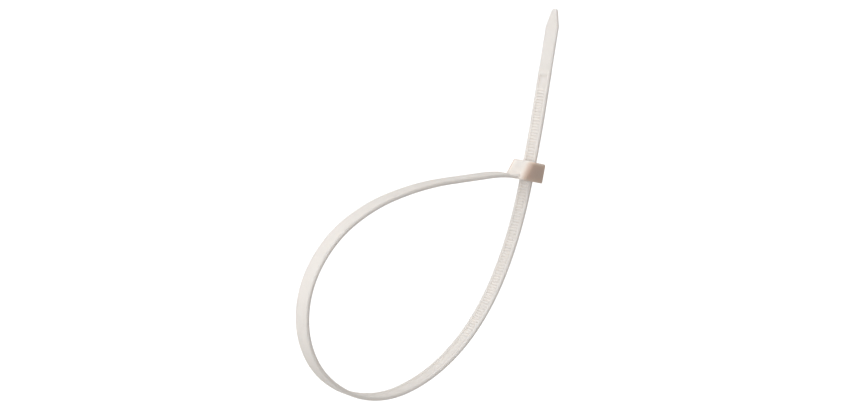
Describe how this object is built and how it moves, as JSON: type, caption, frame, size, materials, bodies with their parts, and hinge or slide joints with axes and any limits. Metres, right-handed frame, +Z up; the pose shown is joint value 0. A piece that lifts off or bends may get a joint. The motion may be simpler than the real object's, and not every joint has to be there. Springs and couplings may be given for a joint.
{
  "type": "cable tie",
  "caption": "Natural nylon cable tie pulled into an open loop, with a toothed strap, a ratchet head and a plain tapered tail that passes through the head.",
  "frame": {"origin": "on the surface the tie lies on, under the middle of its outline", "axes": "+Z up, across the strap's width; +Y along the tail, from the loop towards the tip; the loop lies towards -X and -Y of the head"},
  "size_m": [0.0832, 0.1211, 0.0084],
  "materials": {
    "nylon": "satin moulded natural nylon, slightly translucent"
  },
  "bodies": {
    "root": {"cable_tie": "nylon"}
  },
  "joints": []
}
